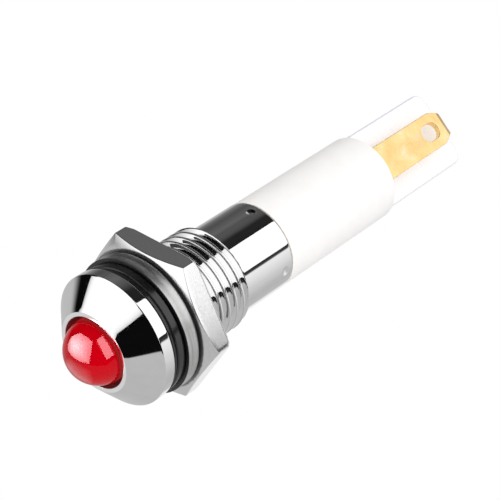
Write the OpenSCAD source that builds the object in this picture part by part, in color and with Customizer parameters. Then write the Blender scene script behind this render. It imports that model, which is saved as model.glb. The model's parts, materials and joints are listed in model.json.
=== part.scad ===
// Panel pilot light: a diffused red LED in a chromed metal bezel with an M8 x 0.75
// threaded shank, a gasket, washer and thin hexagon nut for the panel, and a white
// rear tube with two flat push-on terminals kept apart by a divider plate.
// The axis of the light is Y: the lens looks to -Y and the terminals point to +Y.
// Y = 0 is the front surface of the panel, where the gasket ends; Z is up.

/* [Bezel] */
// Diameter of the rim in front of the panel
rim_d = 10; // [9.6:0.1:10.6]
// Axial length of the rim
rim_len = 0.94; // [0.7:0.02:1.2]
// Axial length of the polished cone in front of the rim
cone_len = 1.72; // [1.4:0.02:2.2]
// Outer diameter of the flat lip at the nose
lip_d = 6.14; // [5.9:0.02:6.6]
// Diameter of the hole that the lens looks through
nose_hole_d = 5.46; // [5.3:0.02:5.6]
// Nominal thread diameter of the shank
thread_d = 8; // [7.9:0.05:8.1]
// Distance from the back of the rim to the end of the thread
thread_end = 8.95; // [8.2:0.05:9.4]
// Diameter of the smooth barrel behind the thread
barrel_d = 7; // [6.9:0.02:7.1]
// Distance from the back of the rim to the end of the barrel
barrel_end = 14.08; // [13.4:0.02:15]
// Bore of the shank
shank_bore_d = 6.1; // [6:0.02:6.3]
// Number of stake marks round the barrel
stakes = 4; // [3:1:6]

/* [Panel fixings] */
// Thickness of the gasket
gasket_t = 1.15; // [1:0.05:1.4]
// Outer diameter of the gasket
gasket_d = 9.9; // [9.6:0.05:10]
// Thickness of the washer
washer_t = 1.15; // [0.8:0.05:1.2]
// Outer diameter of the washer
washer_d = 10.4; // [10.2:0.1:10.8]
// Nut size across flats
nut_af = 11; // [10.8:0.1:11.6]
// Thickness of the nut
nut_t = 1.9; // [1.5:0.05:2.2]
// Turned position of the nut about the axis
nut_turn = 43; // [0:1:59]
// Clearance between the thread crests and the plain holes of the nut and washer
hole_clear = 0.05; // [0.03:0.01:0.08]

/* [Lens] */
// Diameter of the LED body
led_d = 4.84; // [4.7:0.02:5]
// Distance from the tip of the dome to the back of the rim
led_tip = 4.64; // [4.4:0.02:4.8]
// Diameter of the flange of the LED
led_flange_d = 5.9; // [5.7:0.02:5.96]
// Overall length of the LED body
led_len = 8.7; // [8.4:0.05:9]

/* [Rear tube] */
// Outer diameter of the white tube
tube_d = 6.96; // [6.9:0.02:7]
// Inner diameter of the white tube
tube_bore_d = 6; // [5.8:0.05:6.1]
// Distance from the back of the rim to the end of the white tube
tube_end = 26.35; // [25:0.05:28]

/* [Terminals] */
// Width of the divider plate
divider_w = 6.42; // [6.2:0.02:6.5]
// Thickness of the divider plate
divider_t = 0.9; // [0.8:0.05:1]
// Distance from the back of the rim to the end of the divider plate
divider_end = 36.7; // [35:0.1:38]
// Radius of the corners of the divider plate
divider_r = 0.9; // [0.5:0.1:1.2]
// Width of a terminal blade
tab_w = 2.9; // [2.8:0.05:3]
// Thickness of a terminal blade
tab_t = 0.5; // [0.45:0.05:0.55]
// Height of the outer face of a blade above the axis
tab_z = 1.75; // [1.65:0.05:1.85]
// Distance from the back of the rim to the tip of a blade
tab_end = 36; // [34.5:0.1:37]
// Width of the long hole in a blade
tab_hole_w = 1.4; // [1.2:0.05:1.5]
// Length of the long hole in a blade
tab_hole_l = 2.0; // [1.6:0.05:2.2]

/* [Hidden] */
$fn = 96;

// lengths along the axis below are measured from the back of the rim: at(s) places s in the frame
y0 = -gasket_t;
lip_y = -(rim_len + cone_len);
lip_flat = 0.09;
shoulder = 2.45;
front_bore_d = nose_hole_d;
led_r = led_d / 2;
led_mid = -led_tip + led_r;
flange_t = 1.0;
flange_back = -led_tip + led_len;
seal_front = shoulder;
seal_back = flange_back - flange_t;
retainer_back = flange_back + 1.6;
lead_w = 0.5;
lead_x = 1.27;
nut_front = gasket_t + washer_t;
stake_y = 13.24;
stake_turn = 40.4;
stake_ball = 0.42;
stake_depth = 0.2;
spigot_d = shank_bore_d;
spigot_front = 9.6;
carrier_front = 21.6;
blade_in = 19.2;
blade_z = tab_z - tab_t / 2;
pot_front = 22.6;
pot_back = tube_end - 0.9;
joint_gap = 0.01;
wire_r = 0.25;
res_r = 0.9;
res_front = 12.6;
res_len = 3.4;
dio_r = 0.8;
dio_front = 12.8;
dio_len = 3.0;
part_x = 0;
res_z = blade_z;
dio_z = -blade_z;

// turn a shape built along Z so that it runs along Y, starting at distance s from the rim
module at(s = 0) { translate([0, y0 + s, 0]) rotate([-90, 0, 0]) children(); }
// round bar between two distances along the axis
module bar(r, a, b) { at(a) cylinder(r = r, h = b - a); }
// body of revolution from a closed outline of [radius, distance] pairs
module lathe(outline) { at(0) rotate_extrude() polygon(outline); }
// square wire along the axis, centred at x, z
module wire_y(x, z, w, a, b) { translate([x - w / 2, y0 + a, z - w / 2]) cube([w, b - a, w]); }
// outline of a quarter round: centre, radius, start and end angle
function arc(c, r, a, b, n = 6) = [for (i = [0:n]) let (t = a + (b - a) * i / n) [c[0] + r * cos(t), c[1] + r * sin(t)]];

// one turned piece: nose, cone, rim, threaded shank and barrel, with stake marks near the rear edge
module bezel() color([0.82, 0.83, 0.85]) difference() {
    lathe(concat(
        [[nose_hole_d / 2, shoulder]],
        arc([nose_hole_d / 2 + lip_flat, lip_y], lip_flat, 180, 270, 4),
        arc([lip_d / 2 - lip_flat, lip_y], lip_flat, 270, 325, 3),
        [[rim_d / 2 - 0.06, -rim_len],
         [rim_d / 2 - 0.02, -rim_len + 0.05],
         [rim_d / 2, -0.06],
         [rim_d / 2 - 0.06, 0],
         [thread_d / 2 - 0.32, 0],
         [thread_d / 2 - 0.32, 0.34],
         [thread_d / 2, 0.66],
         [thread_d / 2, thread_end - 0.1],
         [barrel_d / 2, thread_end + 0.36],
         [barrel_d / 2, barrel_end - 0.08],
         [barrel_d / 2 - 0.08, barrel_end],
         [shank_bore_d / 2, barrel_end],
         [shank_bore_d / 2, shoulder]]));
    for (i = [0:stakes - 1])
        rotate([0, -stake_turn - i * 360 / stakes, 0])
            translate([barrel_d / 2 + stake_ball - stake_depth, y0 + stake_y, 0]) sphere(r = stake_ball, $fn = 32);
}

// diffused red LED: dome, straight body and flange in one casting
module led_lens() color([0.75, 0.02, 0.04]) {
    translate([0, y0 + led_mid, 0]) rotate([-90, 0, 0]) union() {
        intersection() {
            sphere(r = led_r, $fn = 96);
            translate([-led_r, -led_r, -2 * led_r]) cube([2 * led_r, 2 * led_r, 2 * led_r]);
        }
        cylinder(r = led_r, h = flange_back - led_mid);
        translate([0, 0, flange_back - flange_t - led_mid]) intersection() {
            cylinder(r = led_flange_d / 2, h = flange_t);
            translate([-led_flange_d, -led_flange_d, 0]) cube([led_flange_d + led_r + 0.15, 2 * led_flange_d, flange_t]);
        }
    }
}

// soft ring between the shoulder of the bezel and the flange of the LED
module led_seal() color([0.1, 0.1, 0.1]) at(seal_front) difference() {
    cylinder(d = shank_bore_d - 0.06, h = seal_back - seal_front);
    translate([0, 0, -1]) cylinder(r = led_r + 0.02, h = 3);
}

// moulded disc that keeps the LED forward, with a hole for each lead
module led_retainer() color([0.9, 0.9, 0.86]) at(flange_back) difference() {
    cylinder(d = shank_bore_d - 0.04, h = retainer_back - flange_back);
    for (x = [-lead_x, lead_x]) translate([x, 0, -1]) cylinder(r = 0.42, h = 4, $fn = 32);
    translate([0, 0, retainer_back - flange_back - 0.7]) cylinder(d = 1.2, h = 2, $fn = 32);
}

// square lead of the LED
module led_lead(x, z_end) {
    wire_y(x, 0, lead_w, flange_back, retainer_back + 0.6);
    translate([x - lead_w / 2, y0 + retainer_back + 0.6, min(0, z_end) - lead_w / 2])
        cube([lead_w, lead_w, abs(z_end) + lead_w]);
    wire_y(x, z_end, lead_w, retainer_back + 1.1, res_front - 2.2);
}
module led_anode_lead() color([0.78, 0.79, 0.8]) led_lead(lead_x, res_z);
module led_cathode_lead() color([0.78, 0.79, 0.8]) led_lead(-lead_x, dio_z);

// thin flat ring of rubber under the rim, with a fine lip on the rim side
module panel_gasket() color([0.07, 0.07, 0.07]) lathe([
    [thread_d / 2 + 0.02, 0],
    [gasket_d / 2 - 0.22, 0],
    [gasket_d / 2 - 0.22, 0.12],
    [gasket_d / 2 - 0.07, 0.17],
    [gasket_d / 2 - 0.07, 0.27],
    [gasket_d / 2 - 0.16, 0.31],
    [gasket_d / 2 - 0.16, 0.40],
    [gasket_d / 2, 0.47],
    [gasket_d / 2, gasket_t - 0.1],
    [gasket_d / 2 - 0.1, gasket_t],
    [thread_d / 2 + 0.02, gasket_t]]);

// turned washer with rounded rims
module washer() color([0.72, 0.73, 0.74]) lathe(concat(
    [[thread_d / 2 + hole_clear, gasket_t]],
    arc([washer_d / 2 - 0.22, gasket_t + 0.22], 0.22, 270, 360, 5),
    arc([washer_d / 2 - 0.22, gasket_t + washer_t - 0.22], 0.22, 0, 90, 5),
    [[thread_d / 2 + hole_clear, gasket_t + washer_t]]));

// thin hexagon nut, chamfered on both faces
module hex_nut() color([0.8, 0.81, 0.83]) difference() {
    rotate([0, -nut_turn, 0]) intersection() {
        at(nut_front) cylinder(d = nut_af / cos(30), h = nut_t, $fn = 6);
        lathe([[0, nut_front],
               [5.22, nut_front],
               [nut_af / 2 / cos(30) + 0.1, nut_front + (nut_af / 2 / cos(30) + 0.1 - 5.22) * tan(28)],
               [nut_af / 2 / cos(30) + 0.1, nut_front + nut_t - 0.22],
               [nut_af / 2 / cos(30) - 0.28, nut_front + nut_t],
               [0, nut_front + nut_t]]);
    }
    at(nut_front - 1) cylinder(r = thread_d / 2 + hole_clear, h = nut_t + 2);
    // lead-in at both ends of the hole
    lathe([[0, nut_front - 0.1], [thread_d / 2 + 0.35, nut_front - 0.1], [thread_d / 2 - 0.2, nut_front + 0.45], [0, nut_front + 0.45]]);
    lathe([[0, nut_front + nut_t + 0.1], [thread_d / 2 + 0.35, nut_front + nut_t + 0.1], [thread_d / 2 - 0.2, nut_front + nut_t - 0.45], [0, nut_front + nut_t - 0.45]]);
}

// white tube with a spigot that the barrel is staked on
module rear_tube() color([0.95, 0.94, 0.93]) difference() {
    union() {
        bar(tube_d / 2, barrel_end + 0.02, tube_end);
        bar(spigot_d / 2 - 0.01, spigot_front, barrel_end + 0.02);
    }
    bar(tube_bore_d / 2 - 0.35, spigot_front - 1, barrel_end + 1.2);
    bar(tube_bore_d / 2, barrel_end + 1.2, tube_end + 1);
    // grooves inside that the divider slides in
    translate([-divider_w / 2 - 0.01, y0 + carrier_front - 0.01, -divider_t / 2 - 0.01])
        cube([divider_w + 0.02, 10, divider_t + 0.02]);
    // edge break at the mouth
    at(tube_end - 0.12) cylinder(r1 = tube_bore_d / 2, r2 = tube_bore_d / 2 + 0.14, h = 0.14);
    difference() {
        bar(tube_d / 2 + 1, tube_end - 0.1, tube_end + 1);
        at(tube_end - 0.1) cylinder(r1 = tube_d / 2, r2 = tube_d / 2 - 0.1, h = 0.1);
        bar(tube_d / 2 - 0.1, tube_end - 0.2, tube_end + 2);
    }
}

// plate between the two terminals, with rounded free corners
module divider() color([0.96, 0.96, 0.95])
    translate([0, y0, -divider_t / 2]) linear_extrude(height = divider_t) difference() {
        translate([-divider_w / 2, carrier_front]) square([divider_w, divider_end - carrier_front]);
        for (m = [-1, 1]) translate([m * (divider_w / 2 - divider_r), divider_end - divider_r]) difference() {
            translate([m > 0 ? 0 : -divider_r - 1, 0]) square([divider_r + 1, divider_r + 1]);
            circle(r = divider_r, $fn = 48);
        }
    }

// outline of a blade seen from above: shouldered stem, long hole and tapered tip
module blade_outline() difference() {
    polygon([
        [-0.6, blade_in], [0.6, blade_in], [0.6, carrier_front + 0.6], [tab_w / 2, carrier_front + 0.6],
        [tab_w / 2, tab_end - 1.22], [tab_w / 2 - 0.4, tab_end - 0.31], [tab_w / 2 - 0.53, tab_end],
        [-tab_w / 2 + 0.53, tab_end], [-tab_w / 2 + 0.4, tab_end - 0.31], [-tab_w / 2, tab_end - 1.22],
        [-tab_w / 2, carrier_front + 0.6], [-0.6, carrier_front + 0.6]]);
    for (s = [-1, 1]) translate([0, tab_end - 2.05 + s * (tab_hole_l - tab_hole_w) / 2]) circle(d = tab_hole_w, $fn = 48);
    translate([-tab_hole_w / 2, tab_end - 2.05 - (tab_hole_l - tab_hole_w) / 2]) square([tab_hole_w, tab_hole_l - tab_hole_w]);
}
// flat terminal blade with a coined lead-in at its tip
module blade() difference() {
    translate([0, y0, tab_z - tab_t]) linear_extrude(height = tab_t) blade_outline();
    for (m = [0, 1]) translate([0, y0 + tab_end, blade_z]) mirror([0, 0, m])
        translate([-3, 0, 0]) rotate([90, 0, 90]) linear_extrude(height = 6)
            polygon([[-0.31, tab_t / 2], [0.2, tab_t / 2 - 0.17 - 0.1], [0.2, tab_t], [-0.31, tab_t]]);
}
module terminal_upper() color([0.86, 0.66, 0.3]) blade();
module terminal_lower() color([0.86, 0.66, 0.3]) mirror([0, 0, 1]) blade();

// series resistor in the lead to the upper terminal
module resistor_body() color([0.55, 0.7, 0.78]) translate([part_x, 0, res_z]) union() {
    bar(res_r * 0.82, res_front, res_front + res_len);
    bar(res_r, res_front + 0.05, res_front + 0.95);
    bar(res_r, res_front + res_len - 0.95, res_front + res_len - 0.05);
}
// wire from the LED lead to the front of the resistor
module resistor_lead_front() color([0.78, 0.79, 0.8])
    translate([0, 0, res_z]) union() {
        bar(wire_r, res_front - 1.7, res_front);
        translate([0, y0 + res_front - 1.95, 0]) rotate([0, 90, 0]) cylinder(r = wire_r, h = lead_x);
        translate([0, y0 + res_front - 1.95, 0]) sphere(r = wire_r, $fn = 32);
        bar(wire_r, res_front - 1.95, res_front - 1.6);
    }
module resistor_lead_rear() color([0.78, 0.79, 0.8])
    translate([0, 0, res_z]) bar(wire_r, res_front + res_len, blade_in - joint_gap);

// glass diode in the lead to the lower terminal
module diode_body() color([0.75, 0.35, 0.18]) translate([part_x, 0, dio_z]) bar(dio_r, dio_front, dio_front + dio_len);
module diode_lead_front() color([0.78, 0.79, 0.8])
    translate([0, 0, dio_z]) union() {
        bar(wire_r, res_front - 1.95, dio_front);
        translate([0, y0 + res_front - 1.95, 0]) rotate([0, -90, 0]) cylinder(r = wire_r, h = lead_x);
        translate([0, y0 + res_front - 1.95, 0]) sphere(r = wire_r, $fn = 32);
    }
module diode_lead_rear() color([0.78, 0.79, 0.8])
    translate([0, 0, dio_z]) bar(wire_r, dio_front + dio_len, blade_in - joint_gap);

// insulating sleeves over the two LED leads
module lead_sleeve(x, z) translate([x, 0, z]) difference() {
    bar(0.6, retainer_back + 1.4, res_front - 2.6);
    bar(0.4, retainer_back, res_front);
}
module anode_sleeve() color([0.8, 0.1, 0.08]) lead_sleeve(lead_x, res_z);
module cathode_sleeve() color([0.1, 0.1, 0.1]) lead_sleeve(-lead_x, dio_z);

// solder over the end of a wire and the stem of its terminal
module solder() difference() {
    translate([0, y0 + blade_in, blade_z]) rotate([-90, 0, 0]) union() {
        translate([0, 0, -0.9]) cylinder(r1 = 0.34, r2 = 0.8, h = 0.6, $fn = 48);
        translate([0, 0, -0.3]) cylinder(r = 0.8, h = 0.9, $fn = 48);
        translate([0, 0, 0.6]) cylinder(r1 = 0.8, r2 = 0.5, h = 0.4, $fn = 48);
    }
    translate([0, 0, blade_z]) bar(wire_r, blade_in - 2, blade_in - joint_gap);
    translate([-0.6, y0 + blade_in, blade_z - tab_t / 2]) cube([1.2, 2, tab_t]);
}
module solder_upper() color([0.75, 0.76, 0.78]) solder();
module solder_lower() color([0.75, 0.76, 0.78]) mirror([0, 0, 1]) solder();

// cast resin that closes one half of the tube round its blade
module potting_half() difference() {
    bar(tube_bore_d / 2 - 0.01, pot_front, pot_back);
    translate([-divider_w, y0 + pot_front - 1, -2 * divider_w + divider_t / 2]) cube([2 * divider_w, 8, 2 * divider_w]);
    translate([-tab_w / 2, y0 + pot_front - 1, tab_z - tab_t]) cube([tab_w, 8, tab_t]);
}
module potting_upper() color([0.9, 0.89, 0.86]) potting_half();
module potting_lower() color([0.9, 0.89, 0.86]) mirror([0, 0, 1]) potting_half();

bezel();
led_lens();
led_seal();
led_retainer();
led_anode_lead();
led_cathode_lead();
panel_gasket();
washer();
hex_nut();
rear_tube();
divider();
terminal_upper();
terminal_lower();
resistor_body();
resistor_lead_front();
resistor_lead_rear();
diode_body();
diode_lead_front();
diode_lead_rear();
anode_sleeve();
cathode_sleeve();
solder_upper();
solder_lower();
potting_upper();
potting_lower();
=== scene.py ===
import json
import math

import bmesh
import bpy
import numpy as np
from mathutils import Matrix, Vector


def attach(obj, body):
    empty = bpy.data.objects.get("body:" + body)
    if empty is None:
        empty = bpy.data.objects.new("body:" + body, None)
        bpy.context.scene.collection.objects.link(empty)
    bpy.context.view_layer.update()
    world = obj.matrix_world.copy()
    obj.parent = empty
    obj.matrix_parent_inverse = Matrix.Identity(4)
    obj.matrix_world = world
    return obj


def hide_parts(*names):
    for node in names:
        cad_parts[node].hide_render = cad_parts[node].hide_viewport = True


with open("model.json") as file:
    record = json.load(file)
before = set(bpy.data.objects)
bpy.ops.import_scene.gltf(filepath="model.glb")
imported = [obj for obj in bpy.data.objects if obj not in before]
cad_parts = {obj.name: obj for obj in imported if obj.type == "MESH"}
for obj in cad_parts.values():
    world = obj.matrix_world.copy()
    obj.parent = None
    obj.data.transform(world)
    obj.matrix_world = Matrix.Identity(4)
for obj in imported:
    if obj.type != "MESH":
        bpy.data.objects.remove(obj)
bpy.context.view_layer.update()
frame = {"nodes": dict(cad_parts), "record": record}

scene = bpy.context.scene
scene.view_settings.view_transform = "Standard"

# Lengths below are in mm. s is the distance along the axis from the back of the rim,
# and the frame's y is s less the thickness of the gasket.
GASKET = 1.15


def place(x, s, z):
    return (x / 1000, (s - GASKET) / 1000, z / 1000)


# ---------------------------------------------------------------- camera
az, el, roll = math.radians(0.02), math.radians(51.57), math.radians(56.74)
back = Vector((math.sin(az) * math.cos(el), -math.cos(az) * math.cos(el), math.sin(el)))
right = Vector((math.cos(az), math.sin(az), 0))
up = back.cross(right)
cam_x = math.cos(roll) * right + math.sin(roll) * up
cam_y = -math.sin(roll) * right + math.cos(roll) * up
eye = 123.95 * back + 0.897 * cam_x + 0.622 * cam_y + Vector((0, 12, 0))
cam_data = bpy.data.cameras.new("camera")
cam = bpy.data.objects.new("camera", cam_data)
scene.collection.objects.link(cam)
cam_data.sensor_width = 36
cam_data.lens = 36 * 1709.5 / 500
cam_data.clip_start, cam_data.clip_end = 0.002, 50
cam.matrix_world = Matrix(
    (
        (cam_x.x, cam_y.x, back.x, eye.x / 1000),
        (cam_x.y, cam_y.y, back.y, (eye.y - GASKET) / 1000),
        (cam_x.z, cam_y.z, back.z, eye.z / 1000),
        (0, 0, 0, 1),
    )
)
scene.camera = cam


# ---------------------------------------------------------------- materials
def nodes_of(name):
    mat = bpy.data.materials.new(name)
    mat.use_nodes = True
    tree = mat.node_tree
    tree.nodes.clear()
    out = tree.nodes.new("ShaderNodeOutputMaterial")
    bsdf = tree.nodes.new("ShaderNodeBsdfPrincipled")
    tree.links.new(bsdf.outputs[0], out.inputs[0])
    return mat, tree, bsdf


def put(tree, kind, **values):
    node = tree.nodes.new(kind)
    for key, value in values.items():
        setattr(node, key, value)
    return node


def math_node(tree, op, a, b=None, c=None, clamp=False):
    node = put(tree, "ShaderNodeMath", operation=op, use_clamp=clamp)
    for i, v in enumerate((a, b, c)):
        if v is None:
            continue
        if isinstance(v, (int, float)):
            node.inputs[i].default_value = v
        else:
            tree.links.new(v, node.inputs[i])
    return node.outputs[0]


def in_mm(tree):
    """Object coordinates in mm, as separate x, y, z."""
    coord = put(tree, "ShaderNodeTexCoord")
    scale = put(tree, "ShaderNodeVectorMath", operation="SCALE")
    scale.inputs["Scale"].default_value = 1000
    tree.links.new(coord.outputs["Object"], scale.inputs[0])
    split = put(tree, "ShaderNodeSeparateXYZ")
    tree.links.new(scale.outputs[0], split.inputs[0])
    return scale.outputs[0], split.outputs


def noise(tree, vector, scale, detail=3.0, rough=0.5, distortion=0.0):
    node = put(tree, "ShaderNodeTexNoise")
    tree.links.new(vector, node.inputs["Vector"])
    node.inputs["Scale"].default_value = scale
    node.inputs["Detail"].default_value = detail
    node.inputs["Roughness"].default_value = rough
    node.inputs["Distortion"].default_value = distortion
    return node.outputs[0]


def spread(tree, value, low, high, start=0.3, stop=0.7):
    node = put(tree, "ShaderNodeMapRange", clamp=True, interpolation_type="SMOOTHSTEP")
    tree.links.new(value, node.inputs[0])
    for i, v in zip(range(1, 5), (start, stop, low, high)):
        node.inputs[i].default_value = v
    return node.outputs[0]


def spread_linear(tree, value, low, high, start, stop):
    node = put(tree, "ShaderNodeMapRange", clamp=True)
    tree.links.new(value, node.inputs[0])
    for i, v in zip(range(1, 5), (start, stop, low, high)):
        node.inputs[i].default_value = v
    return node.outputs[0]


def ramp(tree, value, *stops):
    node = put(tree, "ShaderNodeValToRGB")
    tree.links.new(value, node.inputs[0])
    band = node.color_ramp
    while len(band.elements) < len(stops):
        band.elements.new(0.5)
    for e, (at, colour) in zip(band.elements, stops):
        e.position = at
    for e, (at, colour) in zip(band.elements, stops):
        e.color = (*colour, 1)
    return node.outputs[0]


def mix(tree, factor, a, b):
    node = put(tree, "ShaderNodeMix", data_type="RGBA")
    for socket, v in ((node.inputs[0], factor), (node.inputs[6], a), (node.inputs[7], b)):
        if isinstance(v, (int, float)):
            socket.default_value = v
        elif isinstance(v, tuple):
            socket.default_value = (*v, 1)
        else:
            tree.links.new(v, socket)
    return node.outputs[2]


def bump(tree, bsdf, height, depth_mm, strength=1.0):
    node = put(tree, "ShaderNodeBump")
    node.inputs["Strength"].default_value = strength
    node.inputs["Distance"].default_value = depth_mm / 1000
    tree.links.new(height, node.inputs["Height"])
    tree.links.new(node.outputs[0], bsdf.inputs["Normal"])
    return node


def turned(tree, axis_scale=30.0, round_scale=0.6):
    """Coordinates in which a noise becomes fine rings about the axis."""
    _, xyz = in_mm(tree)
    radius = math_node(tree, "SQRT", math_node(tree, "ADD", math_node(tree, "POWER", xyz[0], 2.0), math_node(tree, "POWER", xyz[2], 2.0)))
    join = put(tree, "ShaderNodeCombineXYZ")
    tree.links.new(math_node(tree, "MULTIPLY", radius, axis_scale), join.inputs[0])
    tree.links.new(math_node(tree, "MULTIPLY", xyz[1], axis_scale), join.inputs[1])
    unit = put(tree, "ShaderNodeCombineXYZ")
    angle = math_node(tree, "ARCTAN2", xyz[2], xyz[0])
    tree.links.new(math_node(tree, "MULTIPLY", math_node(tree, "SINE", angle), round_scale), join.inputs[2])
    tree.nodes.remove(unit)
    return join.outputs[0], radius, xyz, angle


def chrome():
    mat, tree, bsdf = nodes_of("polished_chrome")
    at, _ = in_mm(tree)
    bsdf.inputs["Metallic"].default_value = 1
    tone = noise(tree, at, 0.9, 4)
    _, radius, xyz, _ = turned(tree)
    polished = ramp(tree, tone, (0.3, (0.865, 0.867, 0.873)), (0.7, (0.9, 0.9, 0.904)))
    # painted shade: both shoulders of the thread's crest are darker and rougher, which draws thin dark lines along the
    # thread
    painted_shoulder_shade = math_node(tree, "MULTIPLY", spread(tree, radius, 0.0, 1.0, 3.94, 3.96), spread(tree, radius, 1.0, 0.0, 3.99, 3.996))
    painted_shoulder_shade = math_node(tree, "MULTIPLY", painted_shoulder_shade, spread(tree, xyz[1], 0.0, 1.0, -0.6, -0.5))
    painted_shoulder_shade = math_node(tree, "MULTIPLY", painted_shoulder_shade, spread(tree, xyz[1], 1.0, 0.3, 7.3, 7.5))
    painted_shoulder_shade = math_node(tree, "MULTIPLY", painted_shoulder_shade, spread(tree, noise(tree, at, 3, 4, 0.6), 0.75, 1.0))
    # the bore in the nose is darker and rougher
    bore = math_node(tree, "MULTIPLY", spread(tree, radius, 1.0, 0.0, 2.74, 2.78), spread(tree, xyz[1], 0.0, 1.0, -3.8, -3.74))
    painted_shade_step = mix(tree, painted_shoulder_shade, polished, (0.74, 0.74, 0.74))
    tree.links.new(mix(tree, bore, painted_shade_step, (0.4, 0.39, 0.38)), bsdf.inputs["Base Color"])
    rough = spread(tree, noise(tree, at, 2.4, 5, 0.6), 0.02, 0.055)
    rough = math_node(tree, "MULTIPLY_ADD", painted_shoulder_shade, 0.5, rough)
    tree.links.new(math_node(tree, "MULTIPLY_ADD", bore, 0.38, rough), bsdf.inputs["Roughness"])
    bump(tree, bsdf, noise(tree, at, 0.55, 2), 0.010, 0.35)
    return mat


def nut_metal():
    mat, tree, bsdf = nodes_of("bright_nickel")
    at, _ = in_mm(tree)
    _, radius, xyz, _ = turned(tree)
    bsdf.inputs["Metallic"].default_value = 1
    plated = ramp(tree, noise(tree, at, 5, 4), (0.3, (0.84, 0.84, 0.85)), (0.7, (0.9, 0.9, 0.905)))
    # painted shade: a dark, rougher ring on the bearing face round the hole, where the washer meets the nut, and a
    # darker, rougher rear face, painted shade that cuts its reflection in the thread
    painted_shade_step = math_node(tree, "ADD", radius, spread(tree, noise(tree, at, 6, 4), -0.02, 0.02))
    nut_painted_shade = math_node(tree, "MULTIPLY", spread(tree, painted_shade_step, 1.0, 0.0, 5.3, 5.45), spread(tree, xyz[1], 1.0, 0.0, 1.28, 1.34))
    shaded_back_face = spread(tree, xyz[1], 0.0, 1.0, 3.02, 3.045)
    nut_painted_shade = math_node(tree, "MAXIMUM", nut_painted_shade, shaded_back_face)
    tree.links.new(mix(tree, nut_painted_shade, plated, (0.26, 0.26, 0.26)), bsdf.inputs["Base Color"])
    rough = spread(tree, noise(tree, at, 7, 6, 0.7), 0.1, 0.18)
    tree.links.new(math_node(tree, "MULTIPLY_ADD", nut_painted_shade, 0.25, rough), bsdf.inputs["Roughness"])
    bump(tree, bsdf, noise(tree, at, 16, 3, 0.7), 0.003, 0.14)
    return mat


def washer_metal():
    mat, tree, bsdf = nodes_of("turned_washer_metal")
    rings, radius, xyz, angle = turned(tree, 9.0, 0.9)
    at, _ = in_mm(tree)
    bsdf.inputs["Metallic"].default_value = 1
    grooves = noise(tree, rings, 1.6, 5, 0.65)
    patches = noise(tree, at, 0.8, 4, 0.6)
    tone = math_node(tree, "ADD", math_node(tree, "MULTIPLY", grooves, 0.6), math_node(tree, "MULTIPLY", patches, 0.4))
    outside = ramp(tree, tone, (0.32, (0.5, 0.495, 0.49)), (0.5, (0.64, 0.635, 0.63)), (0.68, (0.8, 0.8, 0.796)))
    # painted shade: the front face, against the rubber, is nearly black
    tree.links.new(mix(tree, spread(tree, xyz[1], 1.0, 0.0, 0.02, 0.06), outside, (0.07, 0.07, 0.07)), bsdf.inputs["Base Color"])
    tree.links.new(spread(tree, grooves, 0.33, 0.44), bsdf.inputs["Roughness"])
    bump(tree, bsdf, grooves, 0.008, 0.3)
    return mat


def rubber():
    mat, tree, bsdf = nodes_of("black_rubber")
    at, _ = in_mm(tree)
    tree.links.new(ramp(tree, noise(tree, at, 3, 5), (0.3, (0.004, 0.004, 0.004)), (0.75, (0.01, 0.01, 0.01))), bsdf.inputs["Base Color"])
    tree.links.new(spread(tree, noise(tree, at, 4, 5, 0.6), 0.12, 0.22), bsdf.inputs["Roughness"])
    bsdf.inputs["Specular IOR Level"].default_value = 0.7
    bump(tree, bsdf, noise(tree, at, 9, 4, 0.6), 0.006, 0.15)
    return mat


def red_epoxy():
    mat, tree, bsdf = nodes_of("diffused_red_epoxy")
    at, xyz = in_mm(tree)
    cloud = noise(tree, at, 0.5, 3)
    # painted shade: the body turns nearly black where it sits in the gap behind the lip
    gap_shade_and_glow = spread(tree, xyz[1], 0.0, 1.0, -3.86, -3.66)
    body = ramp(tree, cloud, (0.3, (0.42, 0.0, 0.004)), (0.7, (0.5, 0.0, 0.006)))
    tree.links.new(mix(tree, gap_shade_and_glow, body, (0.05, 0.006, 0.006)), bsdf.inputs["Base Color"])
    tree.links.new(spread(tree, noise(tree, at, 3, 4), 0.03, 0.06), bsdf.inputs["Roughness"])
    bsdf.inputs["IOR"].default_value = 1.38
    bsdf.inputs["Specular Tint"].default_value = (1.0, 0.62, 0.68, 1)
    # painted glow: a weak red emission all over the body, stronger in the gap round it, though the LED is not switched
    # on
    tree.links.new(mix(tree, gap_shade_and_glow, (1.0, 0.0, 0.004), (1.0, 0.06, 0.06)), bsdf.inputs["Emission Color"])
    painted_glow_strength = math_node(tree, "MULTIPLY_ADD", gap_shade_and_glow, 0.17, spread(tree, cloud, 0.05, 0.08))
    tree.links.new(painted_glow_strength, bsdf.inputs["Emission Strength"])
    bsdf.inputs["Subsurface Weight"].default_value = 0.25
    bsdf.inputs["Subsurface Radius"].default_value = (1.0, 0.1, 0.08)
    bsdf.inputs["Subsurface Scale"].default_value = 0.0006
    bump(tree, bsdf, noise(tree, at, 1.2, 2), 0.004, 0.2)
    return mat


def white_tube():
    mat, tree, bsdf = nodes_of("warm_white_polyamide")
    at, xyz = in_mm(tree)
    base = ramp(tree, noise(tree, at, 0.8, 5), (0.3, (0.865, 0.845, 0.832)), (0.7, (0.89, 0.873, 0.862)))
    # painted shade: the first tenths of a mm, where it meets the barrel, are darkened to brown
    edge = spread(tree, math_node(tree, "ADD", xyz[1], math_node(tree, "MULTIPLY", noise(tree, at, 3, 3), 0.08)), 1.0, 0.0, 12.97, 13.04)
    tree.links.new(mix(tree, edge, base, (0.55, 0.45, 0.38)), bsdf.inputs["Base Color"])
    tree.links.new(spread(tree, noise(tree, at, 6, 4), 0.34, 0.46), bsdf.inputs["Roughness"])
    bsdf.inputs["Subsurface Weight"].default_value = 0.1
    bsdf.inputs["Subsurface Radius"].default_value = (1.0, 0.8, 0.7)
    bsdf.inputs["Subsurface Scale"].default_value = 0.0003
    bump(tree, bsdf, noise(tree, at, 12, 4, 0.6), 0.006, 0.25)
    return mat


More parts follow.
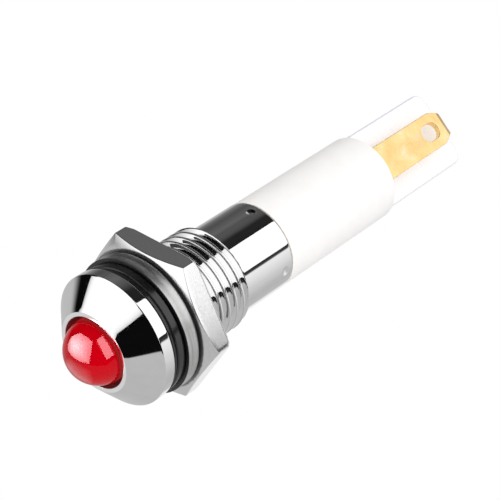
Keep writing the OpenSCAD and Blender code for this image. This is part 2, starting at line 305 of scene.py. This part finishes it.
def white_plate():
    mat, tree, bsdf = nodes_of("white_plastic_sheet")
    at, _ = in_mm(tree)
    _, xyz = in_mm(tree)
    sheet = ramp(tree, noise(tree, at, 0.7, 4), (0.3, (0.88, 0.88, 0.9)), (0.7, (0.92, 0.92, 0.93)))
    # painted shade: the band along the edge is a little darker, lavender towards -x and pinkish towards +x; distance
    # from the outline, which has 0.9 mm corners
    across = math_node(tree, "MAXIMUM", math_node(tree, "SUBTRACT", math_node(tree, "ABSOLUTE", xyz[0]), 2.31), 0.0)
    endways = math_node(tree, "MAXIMUM", math_node(tree, "SUBTRACT", xyz[1], 34.65), 0.0)
    off = math_node(tree, "SQRT", math_node(tree, "ADD", math_node(tree, "POWER", across, 2.0), math_node(tree, "POWER", endways, 2.0)))
    painted_edge_shade = spread(tree, math_node(tree, "ADD", off, spread(tree, noise(tree, at, 4, 3), -0.02, 0.02)), 0.0, 1.0, 0.74, 0.82)
    cut = mix(tree, spread(tree, xyz[0], 0.0, 1.0, 0.0, 2.6), (0.68, 0.68, 0.75), (0.76, 0.72, 0.73))
    tree.links.new(mix(tree, painted_edge_shade, sheet, cut), bsdf.inputs["Base Color"])
    tree.links.new(spread(tree, noise(tree, at, 5, 4), 0.25, 0.38), bsdf.inputs["Roughness"])
    bump(tree, bsdf, noise(tree, at, 10, 4, 0.6), 0.004, 0.2)
    return mat


def gold():
    mat, tree, bsdf = nodes_of("pale_gold_plating")
    at, xyz = in_mm(tree)
    bsdf.inputs["Metallic"].default_value = 1
    clouds = noise(tree, at, 0.9, 5, 0.55, 0.4)
    specks = noise(tree, at, 3.2, 4, 0.6)
    tone = math_node(tree, "ADD", math_node(tree, "MULTIPLY", clouds, 0.7), math_node(tree, "MULTIPLY", specks, 0.3))
    tree.links.new(ramp(tree, tone, (0.32, (0.91, 0.56, 0.22)), (0.45, (0.93, 0.635, 0.28)), (0.56, (0.945, 0.68, 0.32)), (0.68, (0.96, 0.77, 0.49))), bsdf.inputs["Base Color"])
    tree.links.new(spread(tree, specks, 0.2, 0.34), bsdf.inputs["Roughness"])
    bump(tree, bsdf, noise(tree, at, 4, 4, 0.5), 0.006, 0.25)
    return mat


def simple(name, dark, light, rough=(0.3, 0.45), metallic=0.0, scale=3.0, depth=0.006):
    mat, tree, bsdf = nodes_of(name)
    at, _ = in_mm(tree)
    bsdf.inputs["Metallic"].default_value = metallic
    tree.links.new(ramp(tree, noise(tree, at, scale, 5), (0.3, dark), (0.7, light)), bsdf.inputs["Base Color"])
    tree.links.new(spread(tree, noise(tree, at, scale * 2, 4), *rough), bsdf.inputs["Roughness"])
    bump(tree, bsdf, noise(tree, at, scale * 4, 4, 0.6), depth, 0.3)
    return mat


finish = {
    "chrome": chrome(),
    "nut_metal": nut_metal(),
    "washer_metal": washer_metal(),
    "rubber": rubber(),
    "red_lens": red_epoxy(),
    "white_tube": white_tube(),
    "white_plate": white_plate(),
    "gold_contact": gold(),
    "tinned_wire": simple("bright_tinned_wire", (0.66, 0.67, 0.68), (0.8, 0.8, 0.81), (0.2, 0.35), 1.0, 4),
    "resistor_lacquer": simple("pale_blue_lacquer", (0.3, 0.5, 0.6), (0.38, 0.57, 0.66), (0.25, 0.4), 0.0, 2),
    "diode_glass": simple("amber_glass", (0.45, 0.12, 0.03), (0.6, 0.2, 0.06), (0.08, 0.16), 0.0, 1.5),
    "carrier_plastic": simple("natural_moulded_plastic", (0.7, 0.69, 0.62), (0.78, 0.77, 0.71)),
    "sleeve_red": simple("red_sleeve", (0.4, 0.02, 0.015), (0.52, 0.035, 0.025)),
    "sleeve_black": simple("black_sleeve", (0.015, 0.015, 0.015), (0.035, 0.035, 0.035)),
    "solder_metal": simple("bright_solder", (0.6, 0.61, 0.63), (0.74, 0.75, 0.77), (0.22, 0.4), 1.0, 2, 0.02),
    "resin": simple("cast_resin", (0.72, 0.7, 0.64), (0.8, 0.78, 0.73), (0.18, 0.36), 0.0, 0.9, 0.05),
}


# ---------------------------------------------------------------- mesh helpers
def arc(c, r, a, b, n):
    out = []
    for i in range(n + 1):
        t = math.radians(a + (b - a) * i / n)
        out.append((c[0] + r * math.cos(t), c[1] + r * math.sin(t)))
    return out


def rounded(points, radii, n=4, closed=True):
    """A [radius, s] outline with its corners rounded. radii gives one number for each point."""
    out = []
    k = len(points)
    for i, (p, r) in enumerate(zip(points, radii)):
        if r <= 0 or (not closed and i in (0, k - 1)):
            out.append(p)
            continue
        a, b = points[i - 1], points[(i + 1) % k]
        u = (a[0] - p[0], a[1] - p[1])
        v = (b[0] - p[0], b[1] - p[1])
        lu, lv = math.hypot(*u), math.hypot(*v)
        u, v = (u[0] / lu, u[1] / lu), (v[0] / lv, v[1] / lv)
        half = math.acos(max(-1, min(1, u[0] * v[0] + u[1] * v[1]))) / 2
        if math.tan(half) < 1e-6 or half > math.pi / 2 - 0.01:
            out.append(p)
            continue
        d = min(r / math.tan(half), 0.49 * lu, 0.49 * lv)
        r = d * math.tan(half)
        m = (u[0] + v[0], u[1] + v[1])
        lm = math.hypot(*m)
        c = (p[0] + m[0] / lm * r / math.sin(half), p[1] + m[1] / lm * r / math.sin(half))
        a0 = math.atan2(p[1] + u[1] * d - c[1], p[0] + u[0] * d - c[0])
        a1 = math.atan2(p[1] + v[1] * d - c[1], p[0] + v[0] * d - c[0])
        turn = (a1 - a0 + math.pi) % (2 * math.pi) - math.pi
        for j in range(n + 1):
            t = a0 + turn * j / n
            out.append((c[0] + r * math.cos(t), c[1] + r * math.sin(t)))
    return out


def finish_mesh(name, verts, faces, slot, node, body, angle=32, merge=2e-8):
    mesh = bpy.data.meshes.new(name)
    mesh.from_pydata([place(*v) for v in verts], [], faces)
    bm = bmesh.new()
    bm.from_mesh(mesh)
    bmesh.ops.remove_doubles(bm, verts=bm.verts, dist=merge)
    bmesh.ops.dissolve_degenerate(bm, dist=merge, edges=bm.edges)
    bmesh.ops.recalc_face_normals(bm, faces=bm.faces)
    bm.to_mesh(mesh)
    bm.free()
    mesh.polygons.foreach_set("use_smooth", [True] * len(mesh.polygons))
    mesh.set_sharp_from_angle(angle=math.radians(angle))
    mesh.materials.append(finish[slot])
    obj = bpy.data.objects.new(name, mesh)
    scene.collection.objects.link(obj)
    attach(obj, body)
    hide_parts(node)
    return obj


def columns_mesh(name, columns, close_rows, slot, node, body, angle=32):
    """columns is a list of equally long lists of (x, s, z); the last column repeats the first place of the turn."""
    rows = len(columns[0])
    verts = [p for col in columns for p in col]
    faces = []
    last = rows if close_rows else rows - 1
    for j in range(len(columns) - 1):
        for i in range(last):
            a, b = j * rows + i, j * rows + (i + 1) % rows
            faces.append((a, b, b + rows, a + rows))
    return finish_mesh(name, verts, faces, slot, node, body, angle)


def lathe(name, outline, slot, node, body, n=192, angle=32):
    columns = []
    for j in range(n + 1):
        t = 2 * math.pi * (j % n) / n
        c, s = math.cos(t), math.sin(t)
        columns.append([(r * c, y, r * s) for r, y in outline])
    return columns_mesh(name, columns, True, slot, node, body, angle)


# ---------------------------------------------------------------- thread
PITCH = 0.75
CREST, ROOT = 4.0, 3.55
# half of the section of one turn: distance from the middle of the crest, and radius
SECTION = [(0.028, 4.0), (0.052, 3.997), (0.075, 3.989), (0.097, 3.976), (0.116, 3.959), (0.132, 3.938), (0.235, 3.76), (0.332, 3.592), (0.353, 3.561)]
SECTION = [(-u, r) for u, r in reversed(SECTION)] + SECTION
PER_TURN = len(SECTION) + 1


def thread_rows(first, last):
    """Row distances before the helix is laid off, in order, with one row in each root."""
    rows = []
    k = math.floor(first / PITCH) - 1
    while k * PITCH < last + 2 * PITCH:
        rows.append(k * PITCH - PITCH / 2)
        rows += [k * PITCH + u for u, _ in SECTION]
        k += 1
    return rows


def thread_radius(u):
    u = (u + PITCH / 2) % PITCH - PITCH / 2
    us = [-PITCH / 2] + [a for a, _ in SECTION] + [PITCH / 2]
    rs = [ROOT] + [r for _, r in SECTION] + [ROOT]
    return float(np.interp(u, us, rs))


# ---------------------------------------------------------------- bezel
def bezel():
    front = rounded(
        [(2.73, 2.45), (2.73, -2.66), (3.06, -2.66), (4.945, -0.94), (5.0, -0.88), (5.0, 0.0), (3.68, 0.0)],
        [0, 0.045, 0.04, 0.05, 0.05, 0.05, 0],
        4,
        closed=False,
    )
    # more rows on the long straight stretches
    def divide(points, a, b, n):
        out = []
        for p, q in zip(points, points[1:]):
            out.append(p)
            if abs(p[1] - q[1]) > a and abs(math.hypot(p[0] - q[0], p[1] - q[1])) > b:
                out += [(p[0] + (q[0] - p[0]) * i / n, p[1] + (q[1] - p[1]) * i / n) for i in range(1, n)]
        return out + [points[-1]]

    front = divide(front, 0.3, 0.5, 8)
    start, stop = 0.55, 9.35

    def radius(s, turn):
        r = thread_radius(s - 0.05 + PITCH * turn)
        r = min(r, 3.6 + (9.02 - s) * 1.35)  # chamfer at the rear end
        r = max(r, 3.5)
        r = min(r, 3.68 + max(0, s - 0.62) * 1.2)
        if s < 0.62:
            r = 3.68
        return r

    offsets = thread_rows(start, stop + PITCH)
    rear_s = [9.45, 9.8, 10.5, 11.3, 12.1, 12.6] + [12.8 + 0.05 * i for i in range(18)]
    dent_s, dent_r, dent_c = 13.24, 0.54, 3.5 + 0.54 - 0.138
    dents = [math.radians(40.4 + 90 * k) for k in range(4)]

    def barrel(s, t):
        r = 3.5
        for d in dents:
            w = (t - d + math.pi) % (2 * math.pi) - math.pi
            a = w * 3.5
            h2 = a * a + (s - dent_s) ** 2
            if h2 < dent_r**2:
                r = min(r, dent_c - math.sqrt(dent_r**2 - h2))
        return r

    rear = [(3.5, 13.8)] + arc((3.5 - 0.12, 14.08 - 0.12), 0.12, 0, 90, 6) + [(3.3, 14.08), (3.05, 14.08), (3.05, 12.0), (3.05, 2.45)]
    n = 252
    columns = []
    for j in range(n + 1):
        turn = j / n
        t = 2 * math.pi * turn
        c, s_ = math.cos(t), math.sin(t)
        col = list(front)
        col.append((3.68, 0.3))
        for base in offsets:
            s = min(max(base - PITCH * turn, start), stop)
            col.append((radius(s, turn), s))
        for s in rear_s:
            col.append((barrel(s, t), s))
        col += rear
        columns.append([(r * c, s, r * s_) for r, s in col])
    return columns_mesh("bezel_shell", columns, True, "chrome", "bezel", "light", 30)


# ---------------------------------------------------------------- nut
def nut():
    af, rc = 5.5, 0.09
    first, t0 = 2.3, 1.9
    last = first + t0
    turn0 = math.radians(43)
    outline = []
    for k in range(6):
        a = turn0 + math.radians(60 * k)
        c = ((af - rc) / math.cos(math.radians(30)) * math.cos(a), (af - rc) / math.cos(math.radians(30)) * math.sin(a))
        for i in range(5):
            f = a + math.radians(-30 + 15 * i)
            outline.append((c[0] + rc * math.cos(f), c[1] + rc * math.sin(f)))
        b = a + math.radians(60)
        d = ((af - rc) / math.cos(math.radians(30)) * math.cos(b), (af - rc) / math.cos(math.radians(30)) * math.sin(b))
        p = outline[-1]
        q = (d[0] + rc * math.cos(b - math.radians(30)), d[1] + rc * math.sin(b - math.radians(30)))
        for i in range(1, 24):
            outline.append((p[0] + (q[0] - p[0]) * i / 24, p[1] + (q[1] - p[1]) * i / 24))
    outline.append(outline[0])
    slope = math.tan(math.radians(28))
    rows = thread_rows(first - PITCH, last + PITCH)
    turned_by = [math.atan2(z, x) for x, z in outline]
    base = turned_by[0]
    columns = []
    for j, (x, z) in enumerate(outline):
        rho = math.hypot(x, z)
        ux, uz = x / rho, z / rho
        a = (turned_by[j] - base) % (2 * math.pi) if j < len(outline) - 1 else 2 * math.pi
        turn = a / (2 * math.pi)

        def inner(s):
            # right-hand thread that meets the shank's, with clearance, and a lead-in at both ends
            whole = (base + a) / (2 * math.pi)
            r = thread_radius(s - 0.05 + PITCH * whole) + 0.045
            r = max(r, 3.68)
            r = max(r, 4.36 - (s - first) * 1.0, 4.36 - (last - s) * 1.0)
            return r

        cone = first + (rho - 5.22) * slope
        # the bearing face is a low boss with a shallow step round it
        start = 5.41
        chamfer = [0.0, start, start + 0.4 * (rho - 0.02 - start)]
        col = [(4.36, first), (4.7, first), (4.84, first), (4.87, first + 0.01), (4.89, first + 0.04), (4.91, first + 0.075), (4.95, first + 0.094)]
        col += [(5.1, first + 0.096), (5.3, first + 0.096), (start - 0.02, first + 0.097)]
        col += [(r, first + (r - 5.22) * slope) for r in chamfer[1:]]
        col += [(rho - 0.02, cone - 0.02 * slope), (rho - 0.006, cone + 0.002), (rho, cone + 0.018)]
        low = last - max(0.0, rho - 6.07) * 0.6
        col += [(rho, cone + 0.3), (rho, (cone + low) / 2), (rho, low - 0.24)]
        soft = 0.2
        col += [(rho - soft + soft * math.cos(f), low - soft + soft * math.sin(f)) for f in [math.radians(15 * i) for i in range(6)]]
        edge = min(rho - soft, 6.07)
        col += [(max(edge, rho - soft), low if rho - soft <= 6.07 else last - (rho - soft - 6.07) * 0.6)]
        col += [(edge - 0.02, last), (5.2, last), (4.7, last), (4.36, last)]
        for o in reversed(rows):
            s = min(max(o - PITCH * turn, first), last)
            col.append((inner(s), s))
        columns.append([(r * ux, s, r * uz) for r, s in col])
    return columns_mesh("hexagon_nut", columns, True, "nut_metal", "hex_nut", "nut", 34)


# ---------------------------------------------------------------- turned pieces
def washer():
    a, b = GASKET, GASKET + 1.15
    # a soft ridge in front, a shallow hollow and a rounded rear edge
    edge = [(5.14, a), (5.17, a + 0.008), (5.188, a + 0.026), (5.196, a + 0.06), (5.2, a + 0.12), (5.2, a + 0.2), (5.192, a + 0.3), (5.172, a + 0.39)]
    edge += [(5.152, a + 0.47), (5.15, a + 0.54), (5.158, a + 0.61), (5.176, a + 0.68), (5.192, a + 0.75), (5.2, a + 0.82)]
    edge += arc((5.2 - 0.26, b - 0.26), 0.26, 0, 90, 9)[1:]
    outline = [(4.05, a + 0.04), (4.09, a)] + edge + [(4.09, b), (4.05, b - 0.04)]
    return lathe("turned_washer", outline, "washer_metal", "washer", "washer", 216)


def gasket():
    outline = rounded(
        [(4.02, 0.0), (4.72, 0.0), (4.74, 0.12), (4.88, 0.16), (4.88, 0.28), (4.78, 0.33), (4.78, 0.41), (4.945, 0.48), (4.945, 1.03), (4.84, 1.15), (4.02, 1.15)],
        [0.02, 0.02, 0.02, 0.02, 0.02, 0.02, 0.02, 0.03, 0.03, 0.03, 0.02],
        4,
    )
    return lathe("rubber_gasket", outline, "rubber", "panel_gasket", "light", 192)


def lens():
    r, tip = 2.42, -4.64
    mid = tip + r
    dome = []
    for i in range(49):
        t = math.radians(90 * i / 48)
        dome.append((r * math.sin(t), mid - r * math.cos(t)))
    dome[0] = (0.0, tip)
    outline = dome + [(r, mid + 1.2), (r, 2.4), (r, 3.06), (2.95, 3.06), (2.95, 4.06), (0.0, 4.06)]
    return lathe("led_body", outline, "red_lens", "led_lens", "light", 144, 40)


def tube():
    outline = rounded(
        [(2.65, 9.6), (3.04, 9.6), (3.04, 14.1), (3.48, 14.1), (3.48, 26.35), (3.0, 26.35), (3.0, 15.28), (2.65, 15.28)],
        [0.05, 0.1, 0, 0.05, 0.09, 0.09, 0.1, 0.1],
        5,
    )
    long = []
    for p, q in zip(outline, outline[1:] + outline[:1]):
        long.append(p)
        if abs(p[1] - q[1]) > 3:
            long += [(p[0] + (q[0] - p[0]) * i / 6, p[1] + (q[1] - p[1]) * i / 6) for i in range(1, 6)]
    return lathe("white_tube", long, "white_tube", "rear_tube", "light", 160, 34)


# ---------------------------------------------------------------- flat pieces
def plate_mesh(name, loops, z_mid, thick, edge, taper=None, sharp=24):
    """A flat piece with rounded edges: loops are outlines of (x, s), the first outside and the rest holes."""
    curve = bpy.data.curves.new(name + "_outline", "CURVE")
    curve.dimensions = "2D"
    curve.fill_mode = "BOTH"
    curve.bevel_depth = edge / 1000
    curve.bevel_resolution = 3
    curve.extrude = (thick / 2 - edge) / 1000
    curve.offset = -edge / 1000
    for loop in loops:
        spline = curve.splines.new("POLY")
        spline.points.add(len(loop) - 1)
        for p, (x, s) in zip(spline.points, loop):
            p.co = (x / 1000, (s - GASKET) / 1000, 0, 1)
        spline.use_cyclic_u = True
    temp = bpy.data.objects.new(name + "_temp", curve)
    scene.collection.objects.link(temp)
    bpy.context.view_layer.update()
    mesh = bpy.data.meshes.new_from_object(temp.evaluated_get(bpy.context.evaluated_depsgraph_get()))
    bpy.data.objects.remove(temp)
    bpy.data.curves.remove(curve)
    bm = bmesh.new()
    bm.from_mesh(mesh)
    bmesh.ops.remove_doubles(bm, verts=bm.verts, dist=2e-8)
    if taper:
        cut, end, keep = taper
        y = (cut - GASKET) / 1000
        bmesh.ops.bisect_plane(bm, geom=bm.verts[:] + bm.edges[:] + bm.faces[:], dist=1e-8, plane_co=(0, y, 0), plane_no=(0, 1, 0))
        for v in bm.verts:
            s = v.co.y * 1000 + GASKET
            if s > cut:
                v.co.z *= 1 - (1 - keep) * (s - cut) / (end - cut)
    bmesh.ops.recalc_face_normals(bm, faces=bm.faces)
    for v in bm.verts:
        v.co.z += z_mid / 1000
    bm.to_mesh(mesh)
    bm.free()
    mesh.name = name
    mesh.materials.clear()
    mesh.polygons.foreach_set("use_smooth", [True] * len(mesh.polygons))
    mesh.set_sharp_from_angle(angle=math.radians(sharp))
    return mesh


def add_flat(name, mesh, slot, node):
    mesh.materials.append(finish[slot])
    obj = bpy.data.objects.new(name, mesh)
    scene.collection.objects.link(obj)
    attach(obj, "light")
    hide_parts(node)
    return obj


def blade(name, node, side):
    w, end, start, wide = 1.45, 36.0, 19.2, 22.2
    outer = [(-0.6, start), (0.6, start), (0.6, wide), (w, wide), (w, end - 1.22), (w - 0.4, end - 0.31), (w - 0.53, end),
             (-w + 0.53, end), (-w + 0.4, end - 0.31), (-w, end - 1.22), (-w, wide), (-0.6, wide)]
    hole = []
    c, hw, hl = end - 2.05, 0.7, 1.0
    for i in range(32):
        t = math.radians(i * 180 / 31)
        hole.append((hw * math.cos(t), c + (hl - hw) + hw * math.sin(t)))
    for i in range(32):
        t = math.radians(180 + i * 180 / 31)
        hole.append((hw * math.cos(t), c - (hl - hw) + hw * math.sin(t)))
    mesh = plate_mesh(name, [outer, list(reversed(hole))], side * 1.5, 0.5, 0.045, (end - 0.43, end, 0.34), 17)
    return add_flat(name, mesh, "gold_contact", node)


def divider():
    w, a, b, r = 3.21, 21.6, 36.7, 0.9
    loop = [(-w, a), (w, a)]
    loop += [(w - r + r * math.cos(t), b - r + r * math.sin(t)) for t in [math.radians(90 * i / 12) for i in range(13)]]
    loop += [(-w + r - r * math.sin(t), b - r + r * math.cos(t)) for t in [math.radians(90 * i / 12) for i in range(13)]]
    return add_flat("divider_plate", plate_mesh("divider_plate", [loop], 0, 0.9, 0.16), "white_plate", "divider")


bezel()
nut()
washer()
gasket()
lens_piece = lens()
tube()
divider()
blade("blade_upper", "terminal_upper", 1)
blade("blade_lower", "terminal_lower", -1)

# finishes of the nodes that stay as they are
for part in frame["record"]["subparts"]:
    node = frame["nodes"][part["node"]]
    if not node.hide_render:
        for i in range(len(node.data.materials)):
            node.data.materials[i] = finish[part["material_slot"]]


# ---------------------------------------------------------------- light
# Directions are laid out as seen from the camera: distance from the middle is the angle
# away from it, 500 units to half a turn, with the camera's right and up.
def towards(mx, my):
    h = math.hypot(mx, my)
    a = h / 500 * math.pi
    if h < 1e-9:
        return back.copy()
    return math.cos(a) * back + math.sin(a) * (mx / h * cam_x + my / h * cam_y)


def glow_material(name, clear, colour=(1, 1, 1, 1)):
    mat = bpy.data.materials.new(name)
    mat.use_nodes = True
    tree = mat.node_tree
    tree.nodes.clear()
    out = tree.nodes.new("ShaderNodeOutputMaterial")
    emit = tree.nodes.new("ShaderNodeEmission")
    emit.inputs["Color"].default_value = colour
    level = put(tree, "ShaderNodeAttribute", attribute_name="glow")
    tree.links.new(level.outputs["Fac"], emit.inputs["Strength"])
    if clear:
        through = tree.nodes.new("ShaderNodeBsdfTransparent")
        both = tree.nodes.new("ShaderNodeAddShader")
        tree.links.new(emit.outputs[0], both.inputs[0])
        tree.links.new(through.outputs[0], both.inputs[1])
        tree.links.new(both.outputs[0], out.inputs[0])
    else:
        tree.links.new(emit.outputs[0], out.inputs[0])
    return mat


def card(name, corners, middle, levels, rings=12, step=8.0, far=0.6, centre=(0, 7.15, 0), shade=None, only=None):
    """A softbox as a sheet of directions. levels are (share of the way from the middle to the edge, brightness)."""
    edge = []
    for (ax, ay), (bx, by) in zip(corners, corners[1:] + corners[:1]):
        n = max(1, int(math.hypot(bx - ax, by - ay) / step))
        edge += [(ax + (bx - ax) * i / n, ay + (by - ay) * i / n) for i in range(n)]
    verts, glow, faces = [], [], []
    centre = Vector(place(*centre))
    k = len(edge)
    for j in range(rings + 1):
        t = j / rings
        for x, y in edge:
            mx, my = middle[0] + (x - middle[0]) * t, middle[1] + (y - middle[1]) * t
            verts.append(centre + far * towards(mx, my))
            level = float(np.interp(t, [a for a, _ in levels], [b for _, b in levels]))
            glow.append(level * (shade(mx + 500, 500 - my) if shade else 1.0))
    for j in range(rings):
        for i in range(k):
            a, b = j * k + i, j * k + (i + 1) % k
            faces.append((a, b, b + k, a + k) if j else (a, b + k, a + k))
    mesh = bpy.data.meshes.new(name)
    mesh.from_pydata(verts, [], faces)
    mesh.attributes.new("glow", "FLOAT", "POINT").data.foreach_set("value", glow)
    mesh.materials.append(glow_material(name + "_light", only is not None))
    obj = bpy.data.objects.new(name, mesh)
    scene.collection.objects.link(obj)
    obj.visible_camera = False
    obj.visible_diffuse = False
    obj.visible_shadow = False
    if only:
        # the others look through it
        group = bpy.data.collections.new(name + "_receivers")
        group.objects.link(only)
        obj.light_linking.receiver_collection = group
    return obj


def at(x, y):
    return (x - 500, 500 - y)


def fade(x, y):
    """The front softbox is dimmer at its far left, below its top edge."""
    return float(np.interp(x, [210, 298], [0.36, 1.0])) if y > 440 else float(np.interp(x, [225, 262], [0.45, 1.0]))


card("softbox_front", [at(335, 338), at(452, 443), at(424, 600), at(330, 588), at(225, 530), at(207, 468), at(238, 420)], at(338, 478),
     [(0, 1.27), (0.5, 1.24), (0.8, 1.18), (0.93, 1.0), (1, 0.7)], shade=fade)
card("softbox_back", [at(490, 426), at(538, 366), at(632, 314), at(690, 285), at(795, 420), at(736, 476), at(645, 545), at(592, 580)], at(640, 430),
     [(0, 1.27), (0.7, 1.25), (1, 1.16)])
# small reflectors close to the lens, which only the lens mirrors
card("reflector_lens", [at(250, 384), at(300, 362), at(342, 348), at(412, 382), at(465, 422), at(458, 505), at(437, 605), at(380, 596), at(325, 578), at(265, 545), at(222, 505), at(212, 452)],
     at(322, 470), [(0, 38.0), (0.3, 31.0), (0.6, 21.0), (0.85, 14.0), (1, 12.0)], far=0.015, centre=(0, -2.2, 0), step=4.0, shade=fade, only=lens_piece)
card("reflector_lens_rear", [at(499, 410), at(546, 373), at(596, 444), at(641, 537), at(581, 573), at(541, 492)],
     at(566, 470), [(0, 12.5), (0.7, 12.5), (1, 11.0)], far=0.015, centre=(0, -2.2, 0), step=4.0, only=lens_piece)
card("fill_lens", [at(450, 668), at(395, 636), at(350, 604), at(300, 588), at(240, 568), at(185, 590), at(150, 645), at(185, 715), at(255, 790), at(345, 845), at(420, 850), at(458, 770)],
     at(320, 690), [(0, 2.0), (0.5, 1.7), (0.85, 0.6), (1, 0.0)], far=0.015, centre=(0, -2.2, 0), step=6.0, only=lens_piece)

world = bpy.data.worlds.new("studio")
scene.world = world
world.use_nodes = True
tree = world.node_tree
tree.nodes.clear()
out = tree.nodes.new("ShaderNodeOutputWorld")
background = tree.nodes.new("ShaderNodeBackground")
tree.links.new(background.outputs[0], out.inputs[0])
coord = tree.nodes.new("ShaderNodeTexCoord")


def along(vector):
    node = put(tree, "ShaderNodeVectorMath", operation="DOT_PRODUCT")
    tree.links.new(coord.outputs["Generated"], node.inputs[0])
    node.inputs[1].default_value = vector
    return node.outputs["Value"]


x_dir, y_dir, z_dir = along((1, 0, 0)), along((0, 1, 0)), along((0, 0, 1))
edge = math_node(tree, "ADD", along((-0.625, 0.0, 0.781)), 0.195)
panel = spread(tree, along((0.9, 0.3, -0.3)), 0.0, 1.0, 0.5, 0.55)
behind = spread(tree, y_dir, 0.0, 1.0, 0.0, 0.4)
sharper = math_node(tree, "MULTIPLY", math_node(tree, "MULTIPLY_ADD", behind, 0.09, edge), spread(tree, x_dir, 1.0, 6.0, -0.35, 0.2))
table = spread(tree, sharper, 1.0, 0.0, -0.09, 0.15)
room = noise(tree, coord.outputs["Generated"], 1.5, 3, 0.5)
rise = math_node(tree, "POWER", spread_linear(tree, z_dir, 0.0, 1.0, -0.5, 0.6), 2.0)
pale = math_node(tree, "MULTIPLY_ADD", math_node(tree, "MULTIPLY", rise, behind), 0.48, 0.52)
pale = math_node(tree, "ADD", pale, spread(tree, along((0.26, 0.62, -0.74)), 0.0, 0.35, 0.96, 0.998))
pale = math_node(tree, "ADD", pale, spread(tree, along((0.0, -0.62, -0.783)), 0.0, 0.2, 0.94, 0.995))
pale = math_node(tree, "MULTIPLY", pale, spread(tree, room, 0.96, 1.04, 0.3, 0.7))
haze = math_node(tree, "MULTIPLY", spread(tree, edge, 0.24, 0.0, 0.0, 0.42), behind)
dim = math_node(tree, "MULTIPLY", spread(tree, along((-0.783, 0.622, 0.0)), 0.0, 0.085, 0.84, 0.985), behind)
dark = math_node(tree, "ADD", math_node(tree, "ADD", haze, dim), spread(tree, y_dir, 0.003, 0.02, -0.2, 0.5))
dark = math_node(tree, "MULTIPLY", dark, spread(tree, room, 0.7, 1.3, 0.35, 0.65))
dark = math_node(tree, "ADD", dark, spread(tree, y_dir, 0.0, 0.5, 0.79, 0.87))
dark = math_node(tree, "SUBTRACT", dark, spread(tree, y_dir, 0.0, 0.15, 0.93, 0.98))
lit = math_node(tree, "MAXIMUM", table, panel)
glossy_level = mix(tree, lit, dark, pale)
paths = tree.nodes.new("ShaderNodeLightPath")
soft = math_node(tree, "MULTIPLY_ADD", along((0.5, -0.2, 0.1)), 0.01, 0.935)
diffuse_level = mix(tree, paths.outputs["Is Diffuse Ray"], glossy_level, soft)
level = mix(tree, paths.outputs["Is Camera Ray"], diffuse_level, (1.0, 1.0, 1.0))
tree.links.new(level, background.inputs["Color"])
background.inputs["Strength"].default_value = 1.0

lamp_data = bpy.data.lights.new("key", "AREA")
lamp_data.shape = "DISK"
lamp_data.size = 0.25
lamp_data.energy = 0.84
lamp = bpy.data.objects.new("key", lamp_data)
scene.collection.objects.link(lamp)
key_at = Vector((0, 0.01, 0)) + 0.5 * Vector((0.1, -0.2, 0.95)).normalized()
lamp.location = key_at
lamp.rotation_mode = "QUATERNION"
lamp.rotation_quaternion = (key_at - Vector((0, 0.01, 0))).to_track_quat("Z", "Y")
lamp.visible_glossy = False
lamp_data.use_shadow = False
lamp.visible_camera = False

# plain pale floor, well below the light, which is held by its panel fixing
floor_mesh = bpy.data.meshes.new("floor")
floor_mesh.from_pydata([(-3, -3, -0.2), (3, -3, -0.2), (3, 3, -0.2), (-3, 3, -0.2)], [], [(0, 1, 2, 3)])
floor_mat = bpy.data.materials.new("floor_white")
floor_mat.use_nodes = True
ft = floor_mat.node_tree
ft.nodes.clear()
fo = ft.nodes.new("ShaderNodeOutputMaterial")
fe = ft.nodes.new("ShaderNodeEmission")
fe.inputs["Color"].default_value = (1, 1, 1, 1)
fe.inputs["Strength"].default_value = 1.0
ft.links.new(fe.outputs[0], fo.inputs[0])
floor_mesh.materials.append(floor_mat)
floor = bpy.data.objects.new("floor", floor_mesh)
scene.collection.objects.link(floor)
floor.visible_glossy = False
floor.visible_diffuse = False
floor.visible_shadow = False

bpy.context.view_layer.update()
